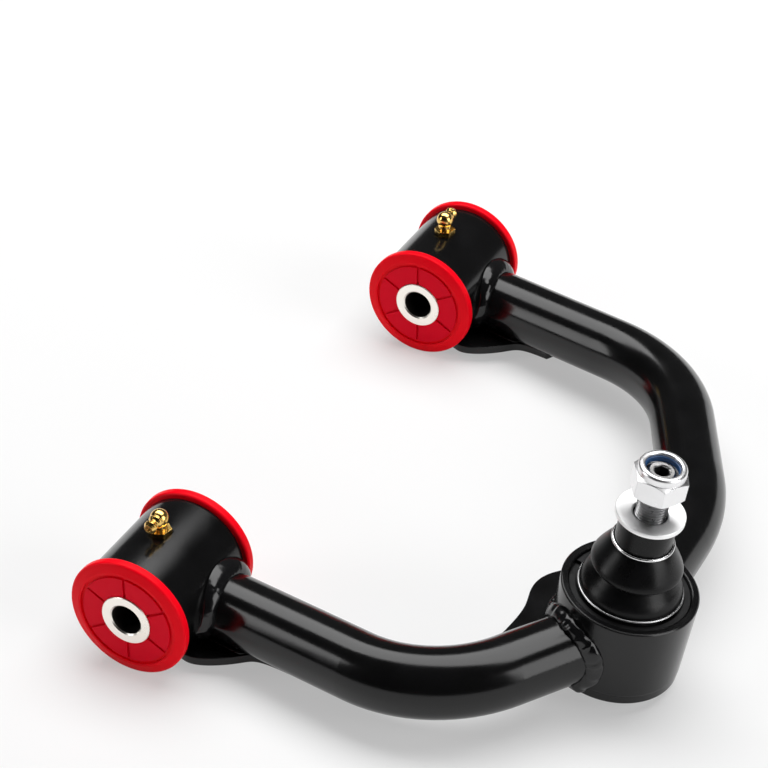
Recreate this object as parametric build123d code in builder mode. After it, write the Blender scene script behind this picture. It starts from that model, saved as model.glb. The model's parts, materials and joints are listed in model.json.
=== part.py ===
# Tubular upper control arm with polyurethane pivot bushings and a ball joint.
# Lengths are in millimetres.
#
# Frame: the origin is the middle of the pivot axis, +Y runs along that axis from the front
# bushing to the rear one, +X points from the pivots to the ball joint, and +Z is the side
# that the stud and the grease nipples are on. The arm lies on its bushing flanges and on
# the end cap of the ball joint.
import os
from math import atan2, cos, degrees, radians, sin, sqrt, tan

from build123d import *

os.makedirs("parts", exist_ok=True)

# ---- driving dimensions -------------------------------------------------------------
pivot_spacing = 287.0  # between the centres of the two bushings, along Y
arm_reach = 197.7  # from the pivot axis to the centre of the cup's rim, along X
joint_offset = 77.4  # from the middle of the pivot axis towards the front bushing
cup_lean = 9.0  # degrees, the cup and the stud lean outwards by this
running_fit = 0.05  # radial clearance of what turns or slides
seat_fit = 0.05  # radial clearance of what is only pressed or dropped in

# Bushing housings, bushing halves and sleeves
housing_od = 54.0
housing_wall = 3.5
housing_length = 52.0
flange_od = 59.0
flange_thickness = 5.5
flange_round = 1.2
flange_flat_r = 25.0  # the face is flat to here, and slopes back outside it
flange_slope = 1.2  # by this much at the flange's edge
grease_gap = 3.0  # between the two halves of a bushing, inside the housing
face_groove_r = 23.0  # middle of the round groove in the bushing's face
face_groove_width = 1.5
face_groove_depth = 1.0
spoke_width = 1.3
spoke_count = 6
spoke_start = 30.0  # degrees, turn of the first spoke
sleeve_od = 24.6
sleeve_bore = 14.6
sleeve_proud = 0.6  # each end of the sleeve stands out of the bushing by this
sleeve_chamfer = 0.8

# Leg tubes
tube_od = 31.8
tube_wall = 3.2
leg_drop = 9.7  # from the pivot axis down to the plane of the legs' centre lines
leg_rise = 2.6  # degrees, that plane climbs towards the cup
leg_shift = 12.0  # a leg's centre line crosses the pivot axis this far behind its bushing
leg_start = 12.0  # from the pivot axis to the notched end of a leg
front_bend = (-53.9, -14.4)  # from the cup's axis along X, from the front bushing along Y
front_bend_r = 60.0
front_leg_aim = 2.8  # the front leg points this far outboard of the cup's axis
rear_bend = (-50.7, -27.2)  # from the cup's axis along X, from the rear bushing along Y
rear_bend_r = 88.0
rear_knee = (-0.2, 91.2)  # from the cup's axis along X and along Y
rear_knee_r = 100.0
rear_leg_end = (0.0, 17.0)  # from the cup's axis along X and along Y

# Gusset plates
plate_thickness = 4.0
gusset_depth = 16.3  # from the legs' plane down to the gussets' underside
front_gusset_reach = 27.0  # from the leg's centre line to the lobe
rear_gusset_reach = 33.2
gusset_root = 8.0  # the plate's outline starts this far from the pivot axis
gusset_length = 67.0  # from the pivot axis to the narrow end
front_gusset_tail = 7.0  # from the leg's centre line to the narrow end's corner
rear_gusset_tail = 9.6
gusset_shoulder = 3.0  # the outline starts this far inside the lobe
gusset_lobe_at = 0.34  # share of the length where the lobe is widest
gusset_waist_at = 0.65  # share of the length where the outline is drawn in
gusset_waist = 3.0  # by this much from the mean of the lobe and the tail
gusset_nose = 2.0  # the end's slanted edge, along the leg
gusset_nose_drop = 4.0  # and across it
web_thickness = 5.0
weld_fit = 0.03  # a leg's notched end stands off the cup by this, for the weld
cap_relief = 0.5  # and off the end cap by this

# Ball joint cup, joint body and end cap. Heights are measured from the cup's rim along
# the cup's axis, positive towards the stud's end.
cup_rim_r = 30.7
cup_foot_r = 30.3
cup_depth = 37.8
cup_bore_r = 26.95
edge_break = 0.6
body_shoulder = -3.0  # top face of the joint body inside the cup
collar_r = 21.5
collar_top = 1.5
snap_ring_width = 2.8
snap_ring_thickness = 1.5
snap_ring_fit = 0.1  # inside the cup's bore
snap_ring_arc = 338.0
snap_ring_turn = 196.0  # degrees about the cup's axis
body_bottom = -42.0
body_chamfer = 1.6
cap_gap = 0.2
cap_outer_r = 30.0
cap_edge = 4.1
cap_depth = 49.5
cap_flat_r = 18.5
cap_floor_inset = 1.5  # the flat is this much smaller inside
cap_bevel = 0.6  # inside corner of the cap's edge
cap_wall = 2.4

# Ball, bearing shell and stud
ball_r = 15.0
ball_centre = -20.8
shell_wall = 2.4
sphere_gap = 0.08
shell_mouth = 50.0  # degrees from the stud's axis to the shell's upper edge
shell_foot = 128.0  # degrees from the stud's axis to the shell's lower edge
seat_mouth = 62.0  # degrees, upper edge of the seat in the joint body
relief_top_r = 20.7
neck_r = 7.0
neck_top = 4.0
taper_foot = 12.0
taper_r = 8.4
taper_top = 41.0
taper_top_r = 7.1
thread_r = 6.93
stud_end = 66.6
stud_end_r = 5.4
socket_flats = 6.0
socket_depth = 7.0

# Boot and its rings
boot_wall = 1.8
boot_base_r = 22.9
base_ring_r = 23.1  # middle of the wire
base_ring_height = 0.3
ring_wire_r = 0.55
neck_ring_r = 13.2
neck_ring_height = 27.3
neck_ring_wire_r = 0.75
boot_neck_r = 12.6
boot_top = 40.9
boot_clearance = 0.3

# Preload parts under the ball
plate_gap = 0.25
pressure_plate_thickness = 2.2
preload_height = 1.6
closing_thickness = 2.0
closing_r = 20.4
closing_bed = 0.1  # added thickness that the preload spring beds on
preload_wall = 0.9
preload_hole_r = 6.5
preload_foot = 1.0  # the spring's foot is this much inside the socket

# Washer and lock nut
washer_r = 15.3
washer_hole_r = 7.6
washer_thickness = 2.5
washer_height = 41.2
nut_flats = 22.0
nut_height = 14.5
nut_hex_height = 10.6
nut_top = 69.7
nut_collar_r = 10.6
nut_lip_r = 8.3
nut_lip = 0.8
nut_collar_round = 1.6
nut_face_inset = 0.4  # the chamfers end this far inside the flats
nut_chamfer_reach = 2.2  # and run this far outside them
nut_chamfer = 1.6
insert_r = 9.0
insert_height = 3.4
insert_fit = 0.05
thread_fit = 0.07

# Grease nipples
nipple_thread_r = 3.0
nipple_hex = 9.4
nipple_hex_height = 3.0
spot_face_r = 6.0
spot_face_depth = 0.45
elbow_height = 8.0  # centre of the elbow above the housing
elbow_r = 4.3
nipple_neck_r = 3.4
head_length = 9.4
head_neck_r = 2.4
head_r = 3.4
head_tip_r = 2.0
check_ball_r = 1.5
nipple_mouth_r = 1.0
check_travel = 0.6
nipple_spring_length = 2.6
spring_wire = 0.35
check_spring_r = 1.35

# ---- derived places -----------------------------------------------------------------
floor_z = -flange_od / 2
front_y = -pivot_spacing / 2
rear_y = pivot_spacing / 2
bushing_length = housing_length + 2 * flange_thickness
sleeve_length = bushing_length + 2 * sleeve_proud
rise = radians(leg_rise)
leg_plane = Plane(
    origin=(0, 0, -leg_drop), x_dir=(cos(rise), 0, sin(rise)), z_dir=(-sin(rise), 0, cos(rise))
)
lean = radians(cup_lean)
rim_z = floor_z + cap_depth * cos(lean) + cap_flat_r * sin(lean)
rim_centre = Vector(arm_reach, -joint_offset, rim_z)
stud_dir = Vector(sin(lean), 0, cos(lean))
cup_plane = Plane(origin=rim_centre, x_dir=(cos(lean), 0, -sin(lean)), z_dir=stud_dir)
cup_section = Plane(origin=rim_centre, x_dir=(cos(lean), 0, -sin(lean)), z_dir=(0, -1, 0))
cup_axis = Axis(rim_centre, stud_dir)
# the cup's axis crosses the legs' plane here
axis_drop = (rim_z + leg_drop - arm_reach * tan(rise)) / (1 - tan(rise) * tan(lean))
cup_axis_x = arm_reach - axis_drop * tan(lean)
cup_y = -joint_offset
socket_r = ball_r + shell_wall + 2 * sphere_gap  # seat of the bearing shell


def save(part, name):
    part.label = name
    export_step(part, f"parts/{name}.step")


def polar(radius, angle):
    """A point of the ball joint's section, at an angle in degrees from the stud's axis."""
    return (radius * sin(radians(angle)), ball_centre + radius * cos(radians(angle)))


# ---- pivot bushings -----------------------------------------------------------------
def pivot_plane(y, outward):
    """A plane across the pivot axis, its normal along +Y or -Y."""
    return Plane(origin=(0, y, 0), x_dir=(1, 0, 0), z_dir=(0, outward, 0))


for name, centre_y in (("front", front_y), ("rear", rear_y)):
    housing_plane = pivot_plane(centre_y - housing_length / 2, 1)
    with BuildPart() as housing:
        with BuildSketch(housing_plane):
            Circle(housing_od / 2)
            Circle(housing_od / 2 - housing_wall, mode=Mode.SUBTRACT)
        extrude(amount=housing_length)
        rims = housing.edges().filter_by(GeomType.CIRCLE).group_by(SortBy.RADIUS)[-1]
        chamfer(rims, edge_break)
        with BuildSketch(Plane.XY.offset(housing_od / 2 - spot_face_depth)):
            with Locations((0, centre_y)):
                Circle(spot_face_r)
        extrude(amount=housing_wall, mode=Mode.SUBTRACT)
        with BuildSketch(Plane.XY):
            with Locations((0, centre_y)):
                Circle(nipple_thread_r)
        extrude(amount=housing_od, mode=Mode.SUBTRACT)
    save(housing.part, f"{name}_bushing_housing")

    with BuildPart() as sleeve:
        with BuildSketch(pivot_plane(centre_y - sleeve_length / 2, 1)):
            Circle(sleeve_od / 2)
            Circle(sleeve_bore / 2, mode=Mode.SUBTRACT)
        extrude(amount=sleeve_length)
        bore_edges = sleeve.edges().filter_by(GeomType.CIRCLE).group_by(SortBy.RADIUS)
        chamfer(bore_edges[0], sleeve_chamfer)
        chamfer(sleeve.edges().filter_by(GeomType.CIRCLE).group_by(SortBy.RADIUS)[-1], sleeve_chamfer / 3)
    save(sleeve.part, f"{name}_sleeve")

    for side, outward in (("front", -1), ("rear", 1)):
        face_y = centre_y + outward * bushing_length / 2
        face_plane = pivot_plane(face_y, outward)
        flange_section = Plane(origin=(0, face_y, 0), x_dir=(1, 0, 0), z_dir=(0, 0, outward))
        hub_length = (housing_length - grease_gap) / 2
        with BuildPart() as bushing_half:
            with BuildSketch(flange_section):
                with BuildLine():
                    Polyline(
                        (0, 0),
                        (flange_flat_r, 0),
                        (flange_od / 2, -flange_slope),
                        (flange_od / 2, -flange_thickness),
                        (0, -flange_thickness),
                        close=True,
                    )
                make_face()
            revolve(axis=Axis((0, 0, 0), (0, 1, 0)))
            flange_edges = bushing_half.edges().filter_by(GeomType.CIRCLE)
            fillet(flange_edges.group_by(SortBy.RADIUS)[-1], flange_round)
            with BuildSketch(face_plane.offset(-flange_thickness)):
                Circle(housing_od / 2 - housing_wall - seat_fit)
            extrude(amount=-hub_length)
            with BuildSketch(face_plane):
                Circle(sleeve_od / 2 + running_fit)
            extrude(amount=-bushing_length, mode=Mode.SUBTRACT)
            with BuildSketch(face_plane):
                Circle(face_groove_r + face_groove_width / 2)
                Circle(face_groove_r - face_groove_width / 2, mode=Mode.SUBTRACT)
            extrude(amount=-face_groove_depth, mode=Mode.SUBTRACT)
            with BuildSketch(face_plane):
                with PolarLocations(face_groove_r / 2, spoke_count, start_angle=spoke_start):
                    Rectangle(face_groove_r, spoke_width)
            extrude(amount=-face_groove_depth, mode=Mode.SUBTRACT)
        save(bushing_half.part, f"{name}_bushing_{side}_half")

# ---- legs ---------------------------------------------------------------------------
front_leg_y = front_y + leg_shift
rear_leg_y = rear_y + leg_shift
front_bend_point = (cup_axis_x + front_bend[0], front_y + front_bend[1])
front_leg_points = [
    (0, front_leg_y),
    front_bend_point,
    (cup_axis_x + front_leg_aim, cup_y),
]
rear_bend_point = (cup_axis_x + rear_bend[0], rear_y + rear_bend[1])
rear_leg_points = [
    (0, rear_leg_y),
    rear_bend_point,
    (cup_axis_x + rear_knee[0], cup_y + rear_knee[1]),
    (cup_axis_x + rear_leg_end[0], cup_y + rear_leg_end[1]),
]


def on_legs(x, y):
    """A point of the row's frame, seen from above, as a point of the legs' plane."""
    return (x / cos(rise), y)


def leg_slope(points):
    """Rise along Y per length along X of a leg's first straight run."""
    (x0, y0), (x1, y1) = points[0], points[1]
    return (y1 - y0) / (x1 - x0)


with BuildPart() as cup_envelope:
    with BuildSketch(cup_section):
        with BuildLine():
            Polyline(
                (0, 0),
                (cup_rim_r + weld_fit, 0),
                (cup_foot_r + weld_fit, -cup_depth),
                (cap_outer_r + cap_relief, -cup_depth),
                (cap_outer_r + cap_relief, -2 * cup_depth),
                (0, -2 * cup_depth),
                close=True,
            )
        make_face()
    revolve(axis=cup_axis)

leg_envelopes = {}
legs = (
    ("front", front_y, front_leg_points, [front_bend_r]),
    ("rear", rear_y, rear_leg_points, [rear_bend_r, rear_knee_r]),
)
for name, centre_y, points, radii in legs:
    slope = leg_slope(points)
    start = (leg_start, points[0][1] + slope * leg_start)
    with BuildLine(leg_plane) as leg_path:
        FilletPolyline(*[on_legs(*point) for point in (start, *points[1:])], radius=radii)
    across_leg = Plane(origin=leg_path.line @ 0, z_dir=leg_path.line % 0)
    with BuildPart() as leg_envelope:
        with BuildSketch(across_leg):
            Circle(tube_od / 2)
        sweep(path=leg_path.line)
    leg_envelopes[name] = leg_envelope.part
    with BuildPart() as leg_tube:
        with BuildSketch(across_leg):
            Circle(tube_od / 2)
            Circle(tube_od / 2 - tube_wall, mode=Mode.SUBTRACT)
        sweep(path=leg_path.line)
        with BuildSketch(pivot_plane(centre_y - pivot_spacing / 4, 1)):
            Circle(housing_od / 2)
        extrude(amount=pivot_spacing / 2, mode=Mode.SUBTRACT)
        add(cup_envelope.part, mode=Mode.SUBTRACT)
    save(leg_tube.part, f"{name}_leg_tube")

# ---- gusset plates ------------------------------------------------------------------
# Each plate lies flat against its leg's underside, on the leg's -Y side, and runs from the
# housing to a narrow end along the leg.
def beside_leg(points, x, distance):
    """A point at x, that far from the leg's centre line on its -Y side."""
    return on_legs(x, points[0][1] + leg_slope(points) * x - distance)


gusset_widths = ((front_gusset_reach, front_gusset_tail), (rear_gusset_reach, rear_gusset_tail))
for (name, centre_y, points, radii), (reach, gusset_tail) in zip(legs, gusset_widths):
    root_corner = beside_leg(points, gusset_root, reach - gusset_shoulder)
    tail_corner = beside_leg(points, gusset_length, gusset_tail)
    nose_x = gusset_length + gusset_nose
    waist = (reach + gusset_tail) / 2 - gusset_waist
    with BuildPart() as gusset:
        with BuildSketch(leg_plane.offset(-gusset_depth)):
            with BuildLine():
                Spline(
                    root_corner,
                    beside_leg(points, gusset_lobe_at * gusset_length, reach),
                    beside_leg(points, gusset_waist_at * gusset_length, waist),
                    tail_corner,
                    tangents=[(1, -0.3), (1, leg_slope(points) + 0.02)],
                )
                Polyline(
                    tail_corner,
                    beside_leg(points, nose_x, gusset_tail - gusset_nose_drop),
                    beside_leg(points, nose_x, 0),
                    beside_leg(points, gusset_root, 0),
                    root_corner,
                )
            make_face()
        extrude(amount=plate_thickness)
        add(leg_envelopes[name], mode=Mode.SUBTRACT)
        with BuildSketch(pivot_plane(centre_y - pivot_spacing / 4, 1)):
            Circle(housing_od / 2)
        extrude(amount=pivot_spacing / 2, mode=Mode.SUBTRACT)
    save(gusset.part, f"{name}_gusset_plate")


# The web is a saddle between the legs, round the inboard side of the cup.
def from_cup(x, y):
    return on_legs(cup_axis_x + x, cup_y + y)


with BuildPart() as cup_web:
    with BuildSketch(leg_plane.offset(-web_thickness / 2)):
        with BuildLine():
            Spline(
                from_cup(-47, -44),
                from_cup(-43.6, -32),
                from_cup(-42.1, -20),
                from_cup(-42.2, -7),
                from_cup(-44.6, 5),
                from_cup(-43.4, 14),
                from_cup(-38, 21.5),
                from_cup(-28, 30),
                from_cup(-20, 42),
                from_cup(-15, 58),
            )
            Polyline(
                from_cup(-15, 58),
                from_cup(0, 58),
                from_cup(0, -6),
                from_cup(-24, -40),
                from_cup(-47, -44),
            )
        make_face()
    extrude(amount=web_thickness)
    for envelope in leg_envelopes.values():
        add(envelope, mode=Mode.SUBTRACT)
    add(cup_envelope.part, mode=Mode.SUBTRACT)
save(cup_web.part, "cup_web")

# ---- ball joint: fixed pieces -------------------------------------------------------
with BuildPart() as ball_joint_cup:
    with BuildSketch(cup_section):
        with BuildLine():
            Polyline(
                (cup_bore_r + edge_break, 0),
                (cup_rim_r - edge_break, 0),
                (cup_rim_r, -edge_break),
                (cup_foot_r, -cup_depth),
                (cup_bore_r, -cup_depth),
                (cup_bore_r, -edge_break),
                close=True,
            )
        make_face()
    revolve(axis=cup_axis)
save(ball_joint_cup.part, "ball_joint_cup")

body_r = cup_bore_r - seat_fit
closing_top = body_bottom + closing_thickness + closing_bed
plate_top = ball_centre - ball_r - plate_gap
plate_bottom = plate_top - pressure_plate_thickness
with BuildPart() as joint_body:
    with BuildSketch(cup_section):
        with BuildLine():
            Polyline(
                polar(socket_r, 90),
                (socket_r, closing_top),
                (closing_r + seat_fit, closing_top),
                (closing_r + seat_fit, body_bottom),
                (body_r - body_chamfer, body_bottom),
                (body_r, body_bottom + body_chamfer),
                (body_r, body_shoulder),
                (collar_r, body_shoulder),
                (collar_r, collar_top),
                (relief_top_r, collar_top),
                polar(socket_r, seat_mouth),
            )
            RadiusArc(polar(socket_r, seat_mouth), polar(socket_r, 90), socket_r)
        make_face()
    revolve(axis=cup_axis)
save(joint_body.part, "joint_body")

with BuildPart() as snap_ring:
    with BuildSketch(cup_section):
        ring_r = cup_bore_r - snap_ring_fit - snap_ring_width / 2
        with Locations((ring_r, body_shoulder + snap_ring_thickness / 2)):
            Rectangle(snap_ring_width, snap_ring_thickness)
    revolve(axis=cup_axis, revolution_arc=snap_ring_arc)
save(snap_ring.part.rotate(cup_axis, snap_ring_turn), "snap_ring")

with BuildPart() as pressure_plate:
    with BuildSketch(cup_plane.offset(plate_bottom)):
        Circle(socket_r - seat_fit)
    extrude(amount=pressure_plate_thickness)
save(pressure_plate.part, "pressure_plate")

with BuildPart() as preload_spring:
    with BuildSketch(cup_section):
        with BuildLine():
            Polyline(
                (socket_r - preload_foot, closing_top),
                (socket_r - preload_foot, closing_top + preload_wall),
                (preload_hole_r, plate_bottom),
                (preload_hole_r, plate_bottom - preload_wall),
                close=True,
            )
        make_face()
    revolve(axis=cup_axis)
save(preload_spring.part, "preload_spring")

with BuildPart() as closing_plate:
    with BuildSketch(cup_plane.offset(body_bottom)):
        Circle(closing_r)
    extrude(amount=closing_thickness + closing_bed)
save(closing_plate.part, "closing_plate")

cap_top = -cup_depth - cap_gap
cap_edge_bottom = cap_top - cap_edge
cap_inner_r = body_r + seat_fit
with BuildPart() as end_cap:
    with BuildSketch(cup_section):
        with BuildLine():
            Polyline(
                (cap_inner_r, cap_top),
                (cap_outer_r, cap_top),
                (cap_outer_r, cap_edge_bottom),
                (cap_flat_r, -cap_depth),
                (0, -cap_depth),
                (0, -cap_depth + cap_wall),
                (cap_flat_r - cap_floor_inset, -cap_depth + cap_wall),
                (cap_inner_r, cap_edge_bottom + cap_bevel),
                close=True,
            )
        make_face()
    revolve(axis=cup_axis)
save(end_cap.part, "end_cap")

# The boot: a base lip round the collar, two bellows, a cone and a straight neck.
boot_outline = [
    (boot_base_r, 1.6),
    (22.2, 4.0),
    (21.2, 7.2),
    (19.4, 9.8),
    (19.0, 11.0),
    (20.2, 14.0),
    (20.2, 16.2),
    (17.6, 20.6),
    (boot_neck_r + 0.9, neck_ring_height - 1.2),
]
boot_hole_r = taper_r + boot_clearance
with BuildPart() as dust_boot:
    with BuildSketch(cup_section):
        with BuildLine():
            Polyline(
                (collar_r + seat_fit, body_shoulder),
                (boot_base_r - 0.4, body_shoulder),
                (boot_base_r - 0.4, 1.0),
                *boot_outline,
                (boot_neck_r - 0.2, neck_ring_height - 0.4),
                (boot_neck_r - 0.2, neck_ring_height + 0.6),
                (boot_neck_r, neck_ring_height + 1.2),
                (boot_neck_r, boot_top - 1.0),
                (boot_neck_r - 1.0, boot_top),
                (boot_hole_r, boot_top),
                (boot_hole_r, neck_ring_height - 1.2),
                *[(r - boot_wall - 0.3, h) for r, h in reversed(boot_outline[:-1]) if h > 2],
                (boot_base_r - boot_wall - 0.3, collar_top + 0.3),
                (collar_r + seat_fit, collar_top + 0.1),
                close=True,
            )
        make_face()
    revolve(axis=cup_axis)
save(dust_boot.part, "dust_boot")

with BuildPart() as boot_base_ring:
    with BuildSketch(cup_section):
        with Locations((base_ring_r, base_ring_height)):
            Circle(ring_wire_r)
    revolve(axis=cup_axis)
save(boot_base_ring.part, "boot_base_ring")

# ---- ball joint: moving pieces ------------------------------------------------------
shell_inner_r = ball_r + sphere_gap
shell_outer_r = shell_inner_r + shell_wall
with BuildPart() as bearing_shell:
    with BuildSketch(cup_section):
        with BuildLine():
            Line(polar(shell_inner_r, shell_mouth), polar(shell_outer_r, shell_mouth))
            RadiusArc(polar(shell_outer_r, shell_mouth), polar(shell_outer_r, shell_foot), shell_outer_r)
            Line(polar(shell_outer_r, shell_foot), polar(shell_inner_r, shell_foot))
            RadiusArc(polar(shell_inner_r, shell_foot), polar(shell_inner_r, shell_mouth), -shell_inner_r)
        make_face()
    revolve(axis=cup_axis)
save(bearing_shell.part, "bearing_shell")

with BuildPart() as boot_neck_ring:
    with BuildSketch(cup_section):
        with Locations((neck_ring_r, neck_ring_height)):
            Circle(neck_ring_wire_r)
    revolve(axis=cup_axis)
save(boot_neck_ring.part, "boot_neck_ring")

neck_angle = degrees(atan2(neck_r, sqrt(ball_r**2 - neck_r**2)))
with BuildPart() as ball_stud:
    with BuildSketch(cup_section):
        with BuildLine():
            RadiusArc((0, ball_centre - ball_r), polar(ball_r, 90), -ball_r)
            RadiusArc(polar(ball_r, 90), polar(ball_r, neck_angle), -ball_r)
            Polyline(
                polar(ball_r, neck_angle),
                (neck_r, neck_top),
                (taper_r, taper_foot),
                (taper_r, neck_ring_height),
                (taper_top_r, taper_top),
                (thread_r, taper_top),
                (thread_r, stud_end - (thread_r - stud_end_r)),
                (stud_end_r, stud_end),
                (0, stud_end),
                (0, ball_centre - ball_r),
            )
        make_face()
    revolve(axis=cup_axis)
    with BuildSketch(cup_plane.offset(stud_end)):
        RegularPolygon(socket_flats / 2, 6, major_radius=False)
    extrude(amount=-socket_depth, mode=Mode.SUBTRACT)
save(ball_stud.part, "ball_stud")

with BuildPart() as stud_washer:
    with BuildSketch(cup_plane.offset(washer_height)):
        Circle(washer_r)
        Circle(washer_hole_r, mode=Mode.SUBTRACT)
    extrude(amount=washer_thickness)
    washer_rims = stud_washer.edges().filter_by(GeomType.CIRCLE).group_by(SortBy.RADIUS)[-1]
    fillet(washer_rims, washer_thickness / 4)
save(stud_washer.part, "stud_washer")

nut_bottom = nut_top - nut_height
chamfer_r = nut_flats / 2 + nut_chamfer_reach
nut_bore_r = thread_r + thread_fit
insert_top = nut_top - nut_lip
insert_bottom = insert_top - insert_height
with BuildPart() as lock_nut:
    with BuildSketch(cup_plane.offset(nut_bottom)):
        RegularPolygon(nut_flats / 2, 6, major_radius=False)
    extrude(amount=nut_hex_height)
    with BuildSketch(cup_section):
        with BuildLine():
            Polyline(
                (0, nut_bottom),
                (nut_flats / 2 - nut_face_inset, nut_bottom),
                (chamfer_r, nut_bottom + nut_chamfer),
                (chamfer_r, nut_bottom + nut_hex_height - nut_chamfer),
                (nut_collar_r, nut_bottom + nut_hex_height),
                (0, nut_bottom + nut_hex_height),
                close=True,
            )
        make_face()
    revolve(axis=cup_axis, mode=Mode.INTERSECT)
    with BuildSketch(cup_plane.offset(nut_bottom + nut_hex_height)):
        Circle(nut_collar_r)
    extrude(amount=nut_height - nut_hex_height)
    collar_rim = lock_nut.faces().sort_by(cup_axis)[-1].edges()
    fillet(collar_rim, nut_collar_round)
    with BuildSketch(cup_plane.offset(nut_bottom)):
        Circle(nut_bore_r)
    extrude(amount=nut_height, mode=Mode.SUBTRACT)
    with BuildSketch(cup_plane.offset(nut_top)):
        Circle(nut_lip_r)
    extrude(amount=-nut_lip, mode=Mode.SUBTRACT)
    with BuildSketch(cup_plane.offset(insert_bottom)):
        Circle(insert_r + running_fit)
    extrude(amount=insert_height + insert_fit, mode=Mode.SUBTRACT)
save(lock_nut.part, "lock_nut")

with BuildPart() as nylon_insert:
    with BuildSketch(cup_plane.offset(insert_bottom + insert_fit)):
        Circle(insert_r)
        Circle(nut_bore_r, mode=Mode.SUBTRACT)
    extrude(amount=insert_height - insert_fit)
save(nylon_insert.part, "nylon_insert")

# ---- grease nipples -----------------------------------------------------------------
spot_z = housing_od / 2 - spot_face_depth
elbow_z = housing_od / 2 + elbow_height
passage_r = check_ball_r + running_fit
mouth_depth = 1.2
ball_seat = sqrt(check_ball_r**2 - nipple_mouth_r**2) + 0.02
for name, centre_y, outward in (("front", front_y, -1), ("rear", rear_y, 1)):
    elbow = Vector(0, centre_y, elbow_z)
    head_dir = Vector(0, outward, 0)
    tip = elbow + head_dir * head_length
    upright = Plane(origin=(0, centre_y, 0), x_dir=(1, 0, 0), z_dir=(0, -1, 0))
    head_section = Plane(origin=elbow, x_dir=(1, 0, 0), z_dir=(0, 0, outward))
    across_head = Plane(origin=tip, x_dir=(1, 0, 0), z_dir=head_dir)
    with BuildPart() as nipple_body:
        with BuildSketch(upright):
            with BuildLine():
                Polyline(
                    (0, housing_od / 2 - housing_wall + 0.3),
                    (nipple_thread_r, housing_od / 2 - housing_wall + 0.3),
                    (nipple_thread_r, spot_z),
                    (nipple_neck_r, spot_z),
                    (nipple_neck_r, elbow_z),
                    (0, elbow_z),
                    close=True,
                )
            make_face()
        revolve(axis=Axis((0, centre_y, 0), (0, 0, 1)))
        with BuildSketch(Plane.XY.offset(spot_z)):
            with Locations((0, centre_y)):
                RegularPolygon(nipple_hex / 2, 6, major_radius=False, rotation=20)
        extrude(amount=nipple_hex_height)
        with Locations(elbow):
            Sphere(elbow_r)
        with BuildSketch(head_section):
            with BuildLine():
                Polyline(
                    (0, 0),
                    (head_r, 0),
                    (head_r, 0.38 * head_length),
                    (head_neck_r, 0.52 * head_length),
                    (head_neck_r, 0.62 * head_length),
                    (head_r - 0.3, 0.74 * head_length),
                    (head_r - 0.3, 0.82 * head_length),
                    (head_tip_r, head_length),
                    (0, head_length),
                    close=True,
                )
            make_face()
        revolve(axis=Axis(elbow, head_dir))
        with BuildSketch(across_head):
            Circle(nipple_mouth_r)
        extrude(amount=-mouth_depth, mode=Mode.SUBTRACT)
        with BuildSketch(across_head.offset(-mouth_depth)):
            Circle(passage_r)
        extrude(amount=mouth_depth - head_length, mode=Mode.SUBTRACT)
        with BuildSketch(Plane.XY.offset(housing_od / 2 - housing_wall)):
            with Locations((0, centre_y)):
                Circle(nipple_mouth_r)
        extrude(amount=elbow_height + housing_wall, mode=Mode.SUBTRACT)
    save(nipple_body.part, f"{name}_grease_nipple")

    with BuildPart() as check_ball:
        with Locations(tip - head_dir * (mouth_depth + ball_seat)):
            Sphere(check_ball_r)
    save(check_ball.part, f"{name}_check_ball")

    spring_front = mouth_depth + ball_seat + sqrt(check_ball_r**2 - (check_spring_r - spring_wire) ** 2)
    with BuildPart() as check_spring:
        with BuildSketch(across_head.offset(-spring_front)):
            Circle(check_spring_r)
            Circle(check_spring_r - spring_wire, mode=Mode.SUBTRACT)
        extrude(amount=-nipple_spring_length)
    save(check_spring.part, f"{name}_check_spring")
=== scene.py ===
import json
from math import atan2, cos, hypot, pi, radians, sin, sqrt, tan

import bmesh
import bpy
from mathutils import Matrix, Vector, noise
from mathutils.bvhtree import BVHTree


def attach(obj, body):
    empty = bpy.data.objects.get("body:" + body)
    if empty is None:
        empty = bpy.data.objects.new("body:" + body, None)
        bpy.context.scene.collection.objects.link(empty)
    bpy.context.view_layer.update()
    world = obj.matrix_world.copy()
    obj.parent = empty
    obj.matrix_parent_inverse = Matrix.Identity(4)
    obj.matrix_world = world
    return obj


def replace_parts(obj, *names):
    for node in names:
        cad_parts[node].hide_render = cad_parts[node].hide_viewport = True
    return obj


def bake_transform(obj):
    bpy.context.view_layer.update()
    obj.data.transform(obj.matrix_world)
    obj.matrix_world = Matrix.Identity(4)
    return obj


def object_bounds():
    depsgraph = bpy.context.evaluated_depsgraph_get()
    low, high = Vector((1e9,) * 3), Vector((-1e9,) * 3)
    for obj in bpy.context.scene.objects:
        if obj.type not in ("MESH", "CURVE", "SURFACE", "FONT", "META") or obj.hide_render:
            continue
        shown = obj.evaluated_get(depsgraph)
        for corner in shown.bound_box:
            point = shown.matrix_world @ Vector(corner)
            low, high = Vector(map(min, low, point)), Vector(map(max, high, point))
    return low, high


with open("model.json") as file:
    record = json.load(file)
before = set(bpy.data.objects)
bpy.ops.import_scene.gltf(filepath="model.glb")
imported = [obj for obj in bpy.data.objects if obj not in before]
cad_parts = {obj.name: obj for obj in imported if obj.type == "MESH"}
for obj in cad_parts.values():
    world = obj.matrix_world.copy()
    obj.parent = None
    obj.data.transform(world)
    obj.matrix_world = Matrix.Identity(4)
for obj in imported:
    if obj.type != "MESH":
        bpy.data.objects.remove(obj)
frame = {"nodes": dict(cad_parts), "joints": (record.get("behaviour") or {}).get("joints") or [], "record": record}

cad_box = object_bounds()
scene = bpy.context.scene
MM = 0.001

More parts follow.
